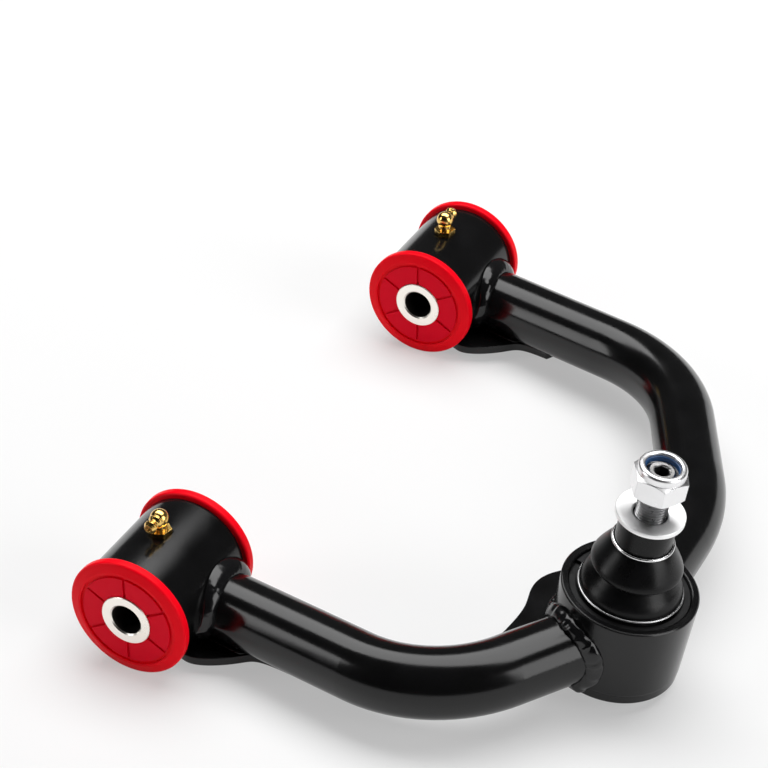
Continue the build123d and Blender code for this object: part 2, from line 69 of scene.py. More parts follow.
# ---- places taken from the frame -----------------------------------------------------
joints = {joint["name"]: joint for joint in frame["joints"]}
ball_centre = Vector(joints["tilt_across"]["pos_m"])
stud_axis = Vector(joints["stud_spin"]["axis"]).normalized()
ball_below_rim = 20.8 * MM
rim_centre = ball_centre + stud_axis * ball_below_rim
across_axis = Vector(joints["tilt_across"]["axis"]).normalized()
front_centre = Vector(joints["front_sleeve_turn"]["pos_m"])
rear_centre = Vector(joints["rear_sleeve_turn"]["pos_m"])
floor_z = cad_box[0].z

# The ball joint's own frame: z along the stud, origin at the middle of the cup's rim.
joint_frame = Matrix.Translation(rim_centre) @ Matrix(
    (across_axis, stud_axis.cross(across_axis), stud_axis)
).transposed().to_4x4()

# ---- sizes that the frame doesn't hold -----------------------------------------------
bore_r = 7.3 * MM
tube_r = 15.9 * MM
leg_drop = 9.7 * MM  # from the pivot axis down to the legs' centre lines
leg_rise = radians(2.6)  # the legs' plane climbs towards the cup
leg_shift = 12 * MM  # a leg crosses the pivot axis this far behind its bushing
web_half = 2.5 * MM
gusset_top = 12.3 * MM  # from the legs' plane down to the gussets' upper face
front_bend = (-53.9 * MM, -14.4 * MM)  # from the cup's axis, from the front bushing
front_bend_r = 60 * MM
front_leg_aim = 2.8 * MM  # the front leg points this far outboard of the cup's axis
rear_bend = (-50.7 * MM, -27.2 * MM)  # from the cup's axis, from the rear bushing
rear_bend_r = 88 * MM
rear_knee = (-0.2 * MM, 91.2 * MM)  # from the cup's axis
rear_knee_r = 100 * MM
rear_leg_end = 17 * MM  # from the cup's axis
route_step = 0.4 * MM


# ---- small makers --------------------------------------------------------------------
def mesh_piece(name, points, faces, finish, sharp=35):
    """A smooth-shaded mesh with edges over the sharp angle kept crisp."""
    mesh = bpy.data.meshes.new(name)
    mesh.from_pydata(points, [], faces)
    mesh.validate()
    shell = bmesh.new()
    shell.from_mesh(mesh)
    bmesh.ops.recalc_face_normals(shell, faces=shell.faces)
    shell.to_mesh(mesh)
    shell.free()
    mesh.polygons.foreach_set("use_smooth", [True] * len(mesh.polygons))
    mesh.set_sharp_from_angle(angle=radians(sharp))
    mesh.materials.append(finish)
    piece = bpy.data.objects.new(name, mesh)
    scene.collection.objects.link(piece)
    return piece


def on_joint(radius, angle, height):
    """A point round the stud's axis, from millimetres above the cup's rim."""
    return joint_frame @ (Vector((radius * cos(angle), radius * sin(angle), height)) * MM)


def ring_faces(rows, count, closed_rows=False):
    """Quads between rings of count points each."""
    faces = []
    for row in range(rows if closed_rows else rows - 1):
        below, above = row * count, (row + 1) % rows * count
        for i in range(count):
            j = (i + 1) % count
            faces.append((below + i, below + j, above + j, above + i))
    return faces


def turned(profile, steps=96):
    """A closed ring of (radius, height) points, in millimetres, turned about the stud's axis.

    Heights are measured from the cup's rim.
    """
    points = []
    for radius, height in profile:
        for i in range(steps):
            angle = 2 * pi * i / steps
            points.append(on_joint(radius, angle, height))
    return points, ring_faces(len(profile), steps, closed_rows=True)


def smooth_line(points, steps):
    """A Catmull-Rom curve through 2-D points, with steps to each stretch between two."""
    line = []
    last = len(points) - 1
    for i in range(last):
        before, start = points[max(i - 1, 0)], points[i]
        end, after = points[i + 1], points[min(i + 2, last)]
        for k in range(steps):
            t = k / steps
            line.append(
                tuple(
                    0.5
                    * (
                        2 * s
                        + (e - b) * t
                        + (2 * b - 5 * s + 4 * e - a) * t * t
                        + (3 * s - b - 3 * e + a) * t**3
                    )
                    for b, s, e, a in zip(before, start, end, after)
                )
            )
    line.append(points[-1])
    return line


# ---- finishes ------------------------------------------------------------------------
def group_of(name, inputs, outputs):
    """An empty shader node group with named value inputs and outputs."""
    group = bpy.data.node_groups.new(name, "ShaderNodeTree")
    for label, kind, value in inputs:
        socket = group.interface.new_socket(label, in_out="INPUT", socket_type=kind)
        socket.default_value = value
    for label, kind in outputs:
        group.interface.new_socket(label, in_out="OUTPUT", socket_type=kind)
    return group, group.nodes.new("NodeGroupInput"), group.nodes.new("NodeGroupOutput")


def math_node(tree, operation, first, second=None):
    """The output of a Math node fed by one or two sockets or values."""
    node = tree.nodes.new("ShaderNodeMath")
    node.operation = operation
    for socket, value in zip(node.inputs, (first, second)):
        if isinstance(value, bpy.types.NodeSocket):
            tree.links.new(value, socket)
        elif value is not None:
            socket.default_value = value
    return node.outputs[0]


def make_orange_peel():
    """The low, even ripple of a sprayed or cast skin: a height and a slower mottle."""
    group, given, result = group_of(
        "orange_peel",
        [("Scale", "NodeSocketFloat", 900.0), ("Mottle Scale", "NodeSocketFloat", 60.0)],
        [("Height", "NodeSocketFloat"), ("Mottle", "NodeSocketFloat")],
    )
    where = group.nodes.new("ShaderNodeTexCoord")
    for label, detail, out in (("Scale", 1.0, "Height"), ("Mottle Scale", 3.0, "Mottle")):
        grain = group.nodes.new("ShaderNodeTexNoise")
        grain.inputs["Detail"].default_value = detail
        group.links.new(where.outputs["Object"], grain.inputs["Vector"])
        group.links.new(given.outputs[label], grain.inputs["Scale"])
        group.links.new(grain.outputs["Fac"], result.inputs[out])
    return group


def make_pivot_reach():
    """How far a point lies from the pivot axis, which is the Y axis, and a mask inside a radius."""
    group, given, result = group_of(
        "pivot_reach",
        [("Inner", "NodeSocketFloat", 0.02), ("Outer", "NodeSocketFloat", 0.021)],
        [("Radius", "NodeSocketFloat"), ("Inside", "NodeSocketFloat")],
    )
    where = group.nodes.new("ShaderNodeTexCoord")
    parts = group.nodes.new("ShaderNodeSeparateXYZ")
    group.links.new(where.outputs["Object"], parts.inputs[0])
    x_squared = math_node(group, "POWER", parts.outputs["X"], 2.0)
    z_squared = math_node(group, "POWER", parts.outputs["Z"], 2.0)
    radius = math_node(group, "SQRT", math_node(group, "ADD", x_squared, z_squared))
    mask = group.nodes.new("ShaderNodeMapRange")
    mask.inputs["To Min"].default_value = 1.0
    mask.inputs["To Max"].default_value = 0.0
    group.links.new(radius, mask.inputs["Value"])
    group.links.new(given.outputs["Inner"], mask.inputs["From Min"])
    group.links.new(given.outputs["Outer"], mask.inputs["From Max"])
    group.links.new(radius, result.inputs["Radius"])
    group.links.new(mask.outputs["Result"], result.inputs["Inside"])
    return group


orange_peel = make_orange_peel()
pivot_reach = make_pivot_reach()


def finish_of(
    name, light, dark, roughness,
    metallic=0.0, peel=900.0, depth=0.02, mottle=60.0, edge=0.0, specular=0.5,
):
    """A skin between two colours, its roughness between two values, with a fine peel.

    edge is the radius that the material gives to crisp edges, in metres.
    """
    peel_height, dullest_mottle, glossiest_mottle = 0.4 * MM, 0.7, 0.3
    material = bpy.data.materials.new(name)
    material.use_nodes = True
    tree = material.node_tree
    shader = tree.nodes["Principled BSDF"]
    shader.inputs["Metallic"].default_value = metallic
    shader.inputs["Specular IOR Level"].default_value = specular
    skin = tree.nodes.new("ShaderNodeGroup")
    skin.node_tree = orange_peel
    skin.inputs["Scale"].default_value = peel
    skin.inputs["Mottle Scale"].default_value = mottle
    tint = tree.nodes.new("ShaderNodeMix")
    tint.data_type = "RGBA"
    tint.inputs["A"].default_value = (*dark, 1)
    tint.inputs["B"].default_value = (*light, 1)
    tree.links.new(skin.outputs["Mottle"], tint.inputs["Factor"])
    tree.links.new(tint.outputs["Result"], shader.inputs["Base Color"])
    spread = tree.nodes.new("ShaderNodeMapRange")
    spread.inputs["From Min"].default_value = glossiest_mottle
    spread.inputs["From Max"].default_value = dullest_mottle
    spread.inputs["To Min"].default_value = roughness[0]
    spread.inputs["To Max"].default_value = roughness[1]
    tree.links.new(skin.outputs["Mottle"], spread.inputs["Value"])
    tree.links.new(spread.outputs["Result"], shader.inputs["Roughness"])
    bump = tree.nodes.new("ShaderNodeBump")
    bump.inputs["Strength"].default_value = depth
    bump.inputs["Distance"].default_value = peel_height
    tree.links.new(skin.outputs["Height"], bump.inputs["Height"])
    tree.links.new(bump.outputs["Normal"], shader.inputs["Normal"])
    if edge:
        soft = tree.nodes.new("ShaderNodeBevel")
        soft.inputs["Radius"].default_value = edge
        tree.links.new(soft.outputs["Normal"], bump.inputs["Normal"])
    return material


def paint_shade_inside(material, inner, outer, colour):
    """Paints shade into the material: turns its colour to the given darker one nearer the pivot axis than inner.
    """
    tree = material.node_tree
    shader = tree.nodes["Principled BSDF"]
    reach = tree.nodes.new("ShaderNodeGroup")
    reach.node_tree = pivot_reach
    reach.inputs["Inner"].default_value = inner
    reach.inputs["Outer"].default_value = outer
    swap = tree.nodes.new("ShaderNodeMix")
    swap.data_type = "RGBA"
    swap.inputs["B"].default_value = (*colour, 1)
    tree.links.new(reach.outputs["Inside"], swap.inputs["Factor"])
    tree.links.new(shader.inputs["Base Color"].links[0].from_socket, swap.inputs["A"])
    tree.links.new(swap.outputs["Result"], shader.inputs["Base Color"])
    return reach


def make_sleeve_metal():
    """Bright turned steel with lathe rings on its faces, and a rougher bore coloured near black as painted shade.
    """
    ring_pitch, ring_height, ring_strength, added_roughness = 0.9 * MM, 0.02 * MM, 0.25, 0.3
    material = finish_of("sleeve_metal", (0.97, 0.93, 0.86), (0.90, 0.86, 0.79), (0.24, 0.32),
                         metallic=1.0, peel=400, depth=0.05, edge=0.3 * MM)
    tree = material.node_tree
    shader = tree.nodes["Principled BSDF"]
    # Painted shade: the bore's wall is coloured near black.
    reach = paint_shade_inside(material, bore_r + 0.1 * MM, bore_r + 0.25 * MM, (0.05, 0.045, 0.04))
    dull = tree.nodes.new("ShaderNodeMath")
    dull.operation = "MULTIPLY_ADD"
    tree.links.new(reach.outputs["Inside"], dull.inputs[0])
    dull.inputs[1].default_value = added_roughness
    tree.links.new(shader.inputs["Roughness"].links[0].from_socket, dull.inputs[2])
    tree.links.new(dull.outputs[0], shader.inputs["Roughness"])
    phase = math_node(tree, "MULTIPLY", reach.outputs["Radius"], 2 * pi / ring_pitch)
    rings = math_node(tree, "SINE", phase)
    bump = tree.nodes.new("ShaderNodeBump")
    bump.inputs["Strength"].default_value = ring_strength
    bump.inputs["Distance"].default_value = ring_height
    tree.links.new(rings, bump.inputs["Height"])
    tree.links.new(shader.inputs["Normal"].links[0].from_socket, bump.inputs["Normal"])
    tree.links.new(bump.outputs["Normal"], shader.inputs["Normal"])
    return material


powder_coat = finish_of("powder_coat", (0.006, 0.006, 0.0065), (0.003, 0.003, 0.003), (0.13, 0.18),
                        peel=1400, depth=0.03, edge=0.8 * MM, specular=0.36)
weld_coat = finish_of("weld_coat", (0.008, 0.008, 0.009), (0.004, 0.004, 0.004), (0.12, 0.20),
                      peel=700, depth=0.08, specular=0.42)
urethane = finish_of("red_polyurethane", (0.98, 0.002, 0.012), (0.94, 0.002, 0.012), (0.30, 0.40),
                     peel=600, depth=0.04, mottle=45, edge=0.3 * MM, specular=0.06)
# Painted shade: the face inside its round groove is coloured a darker red, standing in for a face turned less to
# the light than the rim round it.
shaded_face_inner, shaded_face_outer = 22.0 * MM, 23.0 * MM
paint_shade_inside(urethane, shaded_face_inner, shaded_face_outer, (0.84, 0.0, 0.018))
boot_skin = finish_of("boot_rubber", (0.006, 0.006, 0.0065), (0.003, 0.003, 0.003), (0.24, 0.34),
                      peel=1800, depth=0.05, mottle=120, specular=0.20)
gold_plate = finish_of("yellow_plating", (0.95, 0.66, 0.22), (0.84, 0.50, 0.12), (0.16, 0.26),
                       metallic=1.0, peel=900, depth=0.03, mottle=300, edge=0.3 * MM)
zinc_plate = finish_of("zinc_plating", (0.92, 0.92, 0.92), (0.84, 0.84, 0.85), (0.26, 0.36),
                       metallic=1.0, peel=500, depth=0.05, mottle=160, edge=0.4 * MM)
washer_zinc = finish_of("washer_zinc", (0.95, 0.95, 0.95), (0.90, 0.90, 0.90), (0.38, 0.48),
                        metallic=1.0, peel=500, depth=0.04, mottle=160)
# The thread's steel is a darker copy of the end's: painted shade in the thread.
shaded_thread_steel = finish_of("shaded_thread_steel", (0.34, 0.34, 0.345), (0.24, 0.24, 0.245), (0.26, 0.36),
                         metallic=1.0, peel=900, depth=0.05, mottle=250)
end_steel = finish_of("stud_end_steel", (0.58, 0.57, 0.56), (0.48, 0.475, 0.47), (0.24, 0.34),
                      metallic=1.0, peel=900, depth=0.05, mottle=250)
# Near black, painted shade for the inside of the stud's socket.
socket_painted_shade = finish_of("socket_painted_shade", (0.012, 0.012, 0.012), (0.006, 0.006, 0.006), (0.45, 0.6))
dark_steel = finish_of("dark_steel", (0.018, 0.018, 0.019), (0.010, 0.010, 0.010), (0.30, 0.42),
                       metallic=0.5, peel=900, depth=0.06, mottle=120, edge=0.3 * MM, specular=0.3)
bright_wire = finish_of("bright_wire", (0.90, 0.90, 0.90), (0.75, 0.75, 0.76), (0.16, 0.24),
                        metallic=1.0, peel=900, depth=0.02, mottle=200)
# A darker copy of the spring wire: painted shade for the base ring at the boot's foot.
shaded_wire = finish_of("shaded_wire", (0.55, 0.55, 0.55), (0.38, 0.38, 0.39), (0.24, 0.36),
                      metallic=1.0, peel=900, depth=0.02, mottle=200)
shell_plastic = finish_of("shell_plastic", (0.82, 0.81, 0.76), (0.74, 0.73, 0.68), (0.40, 0.50),
                          peel=700, depth=0.04)
insert_nylon = finish_of("insert_nylon", (0.013, 0.072, 0.205), (0.009, 0.052, 0.155), (0.34, 0.46),
                         peel=900, depth=0.05)
sleeve_metal = make_sleeve_metal()

by_slot = {
    "black_paint": powder_coat,
    "red_urethane": urethane,
    "sleeve_steel": sleeve_metal,
    "nipple_brass": gold_plate,
    "spring_steel": bright_wire,
    "dark_steel": dark_steel,
    "boot_rubber": boot_skin,
    "shell_plastic": shell_plastic,
    "zinc_plate": zinc_plate,
    "insert_nylon": insert_nylon,
}
slots = {part["node"]: part["material_slot"] for part in frame["record"]["subparts"]}
for node, obj in frame["nodes"].items():
    obj.data.materials.clear()
    # The boot's base ring takes the darker wire, as painted shade.
    obj.data.materials.append(shaded_wire if node == "boot_base_ring" else by_slot[slots[node]])


# ---- the legs' centre lines ----------------------------------------------------------
legs_normal = Vector((-sin(leg_rise), 0, cos(leg_rise)))
rim_over_plane = rim_centre.z + leg_drop - rim_centre.x * tan(leg_rise)
lean_slope = stud_axis.x / stud_axis.z
axis_drop = rim_over_plane / (1 - tan(leg_rise) * lean_slope)
cup_x = rim_centre.x - axis_drop * lean_slope  # the cup's axis in the legs' plane
cup_y = rim_centre.y


def on_legs(x, y, lift=0.0):
    """A point of the legs' plane seen from above, lifted along the plane's normal."""
    return Vector((x, y, x * tan(leg_rise) - leg_drop)) + legs_normal * lift


def rounded_route(corners, radii):
    """(place, direction) at even steps along straight runs joined by tangent arcs."""
    dense = [corners[0]]
    for before, corner, after, radius in zip(corners, corners[1:], corners[2:], radii):
        back, ahead = (before - corner).normalized(), (after - corner).normalized()
        half = back.angle(ahead) / 2
        centre = corner + (back + ahead).normalized() * radius / sin(half)
        first = (corner + back * radius / tan(half) - centre).normalized()
        last = (corner + ahead * radius / tan(half) - centre).normalized()
        count = max(int(first.angle(last) * radius / route_step), 2)
        for i in range(count + 1):
            dense.append(centre + first.slerp(last, i / count) * radius)
    dense.append(corners[-1])
    route = []
    for start, end in zip(dense, dense[1:]):
        run = (end - start).length
        for i in range(max(int(run / route_step), 1)):
            route.append((start.lerp(end, i * route_step / run), (end - start) / run))
    return route


leg_lines = {
    "front": rounded_route(
        [
            on_legs(0, front_centre.y + leg_shift),
            on_legs(cup_x + front_bend[0], front_centre.y + front_bend[1]),
            on_legs(cup_x + front_leg_aim, cup_y),
        ],
        [front_bend_r],
    ),
    "rear": rounded_route(
        [
            on_legs(0, rear_centre.y + leg_shift),
            on_legs(cup_x + rear_bend[0], rear_centre.y + rear_bend[1]),
            on_legs(cup_x + rear_knee[0], cup_y + rear_knee[1]),
            on_legs(cup_x, cup_y + rear_leg_end),
        ],
        [rear_bend_r, rear_knee_r],
    ),
}


# ---- weld beads ----------------------------------------------------------------------
def tree_of(node):
    """A frame node's surface, for casting rays at."""
    return BVHTree.FromObject(frame["nodes"][node], bpy.context.evaluated_depsgraph_get())


bead_root = 0.8 * MM  # a bead reaches this far into the corner


def weld_bead(name, corner, along_a, along_b, outward, reach, crown, closed, pitch, roll, seed):
    """A bead in the corner between two faces.

    Each point has a direction along either face, away from the corner, and one outward.
    The bead's toes lie reach from the corner. Its back is a flattened arc between them,
    raised by crown, and crescent ripples, a share roll of the crown, follow along it.
    """
    across = 12
    wander_rate, lump_rate = 160, 230  # of the noise, per metre of bead
    wander_share, ripple_share = 0.3, 0.08  # of the reach, at a roll of 1
    bow, jitter = 0.55, 0.5  # of a crescent, in ripples
    flatness = 1.3  # 1 gives a round arc between the toes and 2 a straight line
    taper = 0.06  # share of an open bead's length over which each end runs out
    least_end = 0.04
    points, travelled = [], 0.0
    for i, place in enumerate(corner):
        if i:
            travelled += (place - corner[i - 1]).length
        wander = 1 + wander_share * roll * noise.noise(Vector((travelled * wander_rate, seed, 0)))
        lumps = noise.noise(Vector((travelled * lump_rate, seed, 5.0)))
        ends = 1.0
        if not closed:
            to_end = min(i, len(corner) - 1 - i) / (len(corner) * taper)
            ends = sqrt(min(max(to_end, least_end), 1))
        for k in range(across + 1):
            t = k / across
            crescent = travelled / pitch - bow * (1 - (2 * t - 1) ** 2) + jitter * lumps
            ripple = sin(pi * crescent) ** 2
            bulge = ends * crown * (1 + roll * (ripple - 0.5 + lumps)) * sin(pi * t)
            a_share, b_share = cos(t * pi / 2) ** flatness, sin(t * pi / 2) ** flatness
            edge = ends * reach * wander * (1 + ripple_share * roll * ripple)
            toe = edge * (a_share * along_a[i] + b_share * along_b[i])
            points.append(place + toe + outward[i] * bulge)
        points.append(place - outward[i] * bead_root)
    width = across + 2
    rows = len(corner)
    faces = ring_faces(rows, width, closed_rows=closed)
    if not closed:
        last = (rows - 1) * width
        faces += [tuple(range(width)), tuple(last + i for i in reversed(range(width)))]
    piece = mesh_piece(name, points, faces, weld_coat, sharp=60)
    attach(piece, "arm")


def foot_of(place, line):
    """The nearest point on a line, given as (point, direction)."""
    return line[0] + line[1] * (place - line[0]).dot(line[1])


def end_weld(name, start, heading, target, away, reach, crown, pitch, roll, seed):
    """The bead round a leg's end, where the tube meets the target node.

    start and heading give the tube's axis towards the target. away is the target's axis,
    as (point, direction), from which the target's own outward direction is taken. A ray
    that passes the axis has missed the near wall, and is left out.
    """
    surface = tree_of(target)
    side = heading.orthogonal().normalized()
    other = heading.cross(side).normalized()
    count = 300
    corner, radial = [], []
    for i in range(count):
        angle = 2 * pi * i / count
        out = cos(angle) * side + sin(angle) * other
        hit = surface.ray_cast(start + out * tube_r, heading)[0]
        if hit is None or (hit - foot_of(hit, away)).dot(heading) > 0:
            continue
        corner.append(hit)
        radial.append(out)
    along_a, along_b, outward = [], [], []
    rows = len(corner)
    for i, place in enumerate(corner):
        tangent = (corner[(i + 1) % rows] - corner[i - 1]).normalized()
        target_out = (place - foot_of(place, away)).normalized()
        back = -heading - tangent * (-heading).dot(tangent)
        spread = target_out.cross(tangent)
        if spread.dot(radial[i]) < 0:
            spread = -spread
        along_a.append(back.normalized())
        along_b.append(spread.normalized())
        outward.append((radial[i] + target_out).normalized())
    weld_bead(name, corner, along_a, along_b, outward, reach, crown, True, pitch, roll, seed)


def first_run(line):
    """A place on the leg's first straight run and the heading from there to the housing."""
    run_in = 60 * MM
    place, direction = line[int(run_in / route_step)]
    return place, -direction


def last_run(line):
    """A place on the leg's last straight run and the heading from there to the cup."""
    run_in = 55 * MM
    place, direction = line[-1]
    return place - direction * run_in, direction


def longest_stretch(samples, plate, side):
    """The longest run of samples beside which the plate's face really is.

    A sample is (corner, along the other face, along the plate). side is the face's normal.
    """
    beside, above, depth = 2.0 * MM, 2.0 * MM, 3.5 * MM
    surface = tree_of(plate)
    best, run = [], []
    for sample in samples:
        start = sample[0] + sample[2] * beside + side * above
        found = surface.ray_cast(start, -side, depth)[0] is not None
        run = run + [sample] if found else []
        if len(run) > len(best):
            best = run
    return best


def plate_weld(name, samples, plate, side, reach, seed):
    """A bead along a plate's edge, where the plate meets another face."""
    crown, pitch, roll = 0.6 * MM, 2.6 * MM, 0.35
    stretch = longest_stretch(samples, plate, side)
    corner = [sample[0] for sample in stretch]
    outward = [(sample[1] + sample[2]).normalized() for sample in stretch]
    weld_bead(
        name, corner, [sample[1] for sample in stretch], [sample[2] for sample in stretch],
        outward, reach, crown, False, pitch, roll, seed,
    )


def beside_leg(line, lift, face, turn):
    """Samples where a plate's face, lifted from the legs' plane, meets a leg's flank.

    face is the face's normal and turn is 1 on a leg's left, seen along it, and -1 on its right.
    """
    samples = []
    out_by = sqrt(tube_r**2 - lift**2)
    for place, direction in line:
        out = legs_normal.cross(direction).normalized() * turn
        flank = out * out_by / tube_r + legs_normal * lift / tube_r
        climb = face - flank * face.dot(flank)
        samples.append((place + flank * tube_r, climb.normalized(), out))
    return samples


def beside_cup(lift, face):
    """Samples round the cup's wall, where the web's face meets it."""
    outside, count = 60 * MM, 400
    wall = tree_of("ball_joint_cup")
    centre = on_legs(cup_x, cup_y, lift)
    samples = []
    for i in range(count):
        angle = 2 * pi * i / count
        flat = Vector((cos(angle), sin(angle), cos(angle) * tan(leg_rise))).normalized()
        hit = wall.ray_cast(centre + flat * outside, -flat)[0]
        if hit:
            samples.append((hit, stud_axis * (1 if face.z > 0 else -1), flat))
    return samples


def beside_housing(name, centre_y, lift):
    """Samples along the housing, where the gusset's upper face meets it."""
    outside, step, half_count = 50 * MM, 0.3 * MM, 80
    along_plate = Vector((1, 0, tan(leg_rise)))
    wall = tree_of(f"{name}_bushing_housing")
    samples = []
    for i in range(-half_count, half_count):
        hit = wall.ray_cast(on_legs(outside, centre_y + i * step, lift), -along_plate)[0]
        if hit:
            samples.append((hit, Vector((-hit.z, 0, hit.x)).normalized(), along_plate))
    return samples


pivot_line = (Vector((0, 0, 0)), Vector((0, 1, 0)))
cup_line = (rim_centre, stud_axis)
for number, (side_name, line) in enumerate(leg_lines.items()):
    end_weld(f"{side_name}_housing_weld", *first_run(line), f"{side_name}_bushing_housing", pivot_line,
             reach=5.5 * MM, crown=0.2 * MM, pitch=3.0 * MM, roll=0.08, seed=3.1 + number)
    end_weld(f"{side_name}_cup_weld", *last_run(line), "ball_joint_cup", cup_line,
             reach=4.2 * MM, crown=0.7 * MM, pitch=5.0 * MM, roll=0.40, seed=7.7 + number)

web_bead, gusset_bead = 2.6 * MM, 2.4 * MM
for side_name, turn in (("front", 1), ("rear", -1)):
    for face_name, sign in (("upper", 1), ("lower", -1)):
        samples = beside_leg(leg_lines[side_name], sign * web_half, legs_normal * sign, turn)
        plate_weld(f"web_{side_name}_{face_name}_weld", samples, "cup_web", legs_normal * sign,
                   web_bead, seed=11.3 * sign)
for face_name, sign in (("upper", 1), ("lower", -1)):
    samples = beside_cup(sign * web_half, legs_normal * sign)
    plate_weld(f"web_cup_{face_name}_weld", samples, "cup_web", legs_normal * sign,
               web_bead, seed=17.9 * sign)
for side_name, centre in (("front", front_centre), ("rear", rear_centre)):
    plate = f"{side_name}_gusset_plate"
    plate_weld(f"{side_name}_gusset_leg_weld",
               beside_leg(leg_lines[side_name], -gusset_top, legs_normal, -1),
               plate, legs_normal, gusset_bead, seed=21.7)
    plate_weld(f"{side_name}_gusset_housing_weld", beside_housing(side_name, centre.y, -gusset_top),
               plate, legs_normal, gusset_bead, seed=25.1)


# ---- ball joint: boot, stud, washer, nut ---------------------------------------------
# Radii and heights of these are in millimetres, the heights from the cup's rim.
boot_wall = 1.8


def boot_shell(name, line):
    """One stretch of the boot, as a closed skin of even thickness."""
    inner = [(radius - boot_wall, height) for radius, height in reversed(line)]
    points, faces = turned(line + inner, steps=128)
    piece = mesh_piece(name, points, faces, boot_skin, sharp=50)
    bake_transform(piece)
    return piece


# The boot in two stretches. They meet at the split, high
# enough for the boot to clear the cup at full tilt. At the ends of tilt_along the stud still
# cuts into their inner sides.
steps_between = 6
split = 6  # the outline's point where the stretches meet
boot_line = smooth_line([
    (22.6, 0.9), (22.9, 1.5), (22.7, 2.8), (22.1, 4.4), (21.0, 6.2), (19.8, 7.7), (18.7, 9.1),
    (17.6, 10.5), (17.1, 11.4), (17.3, 12.1), (18.6, 12.7), (19.9, 13.4), (20.3, 14.5), (19.8, 16.2),
    (18.5, 18.6), (16.7, 21.6), (15.0, 24.2), (13.6, 26.0), (12.7, 26.8), (12.5, 27.5), (12.6, 28.4),
    (12.6, 32.0), (12.6, 36.0), (12.6, 39.4), (12.3, 40.4), (11.6, 40.8),
], steps_between)
cut = split * steps_between
lower_boot = boot_shell(
    "boot_lower_bellow", boot_line[:cut + 1]
)
boot_shell("boot_upper_bellow", boot_line[cut:])
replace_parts(lower_boot, "dust_boot")

thread_pitch = 1.5
thread_crest = 6.93
thread_root = 6.02
thread_foot = 41.0
stud_end = 66.6


def thread_radius(height, angle):
    """Radius of the stud's thread, with a flat crest, and a run-out of one turn at its foot."""
    half_crest, flank_width = 0.0625, 0.3125  # shares of the pitch
    phase = (height / thread_pitch - angle / (2 * pi)) % 1
    flank = min(max((abs(phase - 0.5) - half_crest) / flank_width, 0), 1)
    depth = (thread_crest - thread_root) * flank
    runout = min(max((height - thread_foot) / thread_pitch, 0), 1)
    return thread_crest - depth * runout


def make_stud():
    """The ball stud: ball, neck, taper, cut thread and a hexagon socket, as one closed skin."""
    steps, ball_rows, tip_r = 96, 24, 0.01
    ball_r, ball_height, neck_r = 15.0, -20.8, 7.0
    profile = []
    neck_angle = atan2(neck_r, sqrt(ball_r**2 - neck_r**2))
    for i in range(ball_rows + 1):
        angle = pi - (pi - neck_angle) * i / ball_rows
        profile.append((max(ball_r * sin(angle), tip_r), ball_height + ball_r * cos(angle)))
    profile += [(neck_r, 3.5), (7.2, 4.6), (8.2, 11.2), (8.4, 12.4), (8.4, 27.3), (7.1, 40.6)]
    rows = [[(radius, height)] * steps for radius, height in profile]
    rows_per_turn, end_r = 12, 5.3
    count = rows_per_turn * int((stud_end - thread_foot) / thread_pitch)
    for i in range(count + 1):
        height = thread_foot + (stud_end - thread_foot) * i / count
        lead_in = end_r + (stud_end - height)
        row = []
        for k in range(steps):
            row.append((min(thread_radius(height, 2 * pi * k / steps), lead_in), height))
        rows.append(row)
    # The socket: a chamfered round mouth, a hexagon and the drill's point. Its faces are coloured near black as
    # painted shade in the hole.
    half_flats, mouth_r, chamfer, drill_point = 3.0, 3.5, 0.4, 1.2
    socket_top, socket_floor = stud_end - 0.5, stud_end - 7.0
    rows.append([(mouth_r + chamfer, stud_end)] * steps)
    rows.append([(mouth_r, stud_end - chamfer)] * steps)
    socket_row = len(rows) - 1
    for height in (socket_top, socket_floor):
        row = []
        for k in range(steps):
            in_side = (2 * pi * k / steps) % (pi / 3) - pi / 6
            row.append((half_flats / cos(in_side), height))
        rows.append(row)
    rows.append([(tip_r, socket_floor - drill_point)] * steps)
    points = []
    for row in rows:
        for k, (radius, height) in enumerate(row):
            angle = 2 * pi * k / steps
            points.append(on_joint(radius, angle, height))
    faces = ring_faces(len(rows), steps)
    last = (len(rows) - 1) * steps
    faces += [tuple(range(steps)), tuple(last + k for k in reversed(range(steps)))]
    piece = mesh_piece("threaded_stud", points, faces, shaded_thread_steel, sharp=40)
    piece.data.materials.append(end_steel)
    piece.data.materials.append(socket_painted_shade)
    end_rows = 3  # rows of the end before the socket, in the lighter steel; the thread's darker steel is painted shade
    for face in piece.data.polygons:
        row = min(face.vertices) // steps
        if row >= socket_row:
            face.material_index = 2
        elif row >= socket_row - end_rows:
            face.material_index = 1
    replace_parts(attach(piece, "ball_stud"), "ball_stud")


def make_washer():
    """A pressed washer, slightly dished towards its hole."""
    profile = [
        (7.6, 41.5), (8.0, 41.2), (15.0, 41.2), (15.3, 41.45), (15.3, 43.35), (15.1, 43.6),
        (13.5, 43.55), (10.5, 43.25), (8.6, 43.05), (7.9, 42.95), (7.6, 42.6),
    ]
    points, faces = turned(profile, steps=128)
    piece = mesh_piece("dished_washer", points, faces, washer_zinc, sharp=50)
    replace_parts(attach(piece, "washer"), "stud_washer")


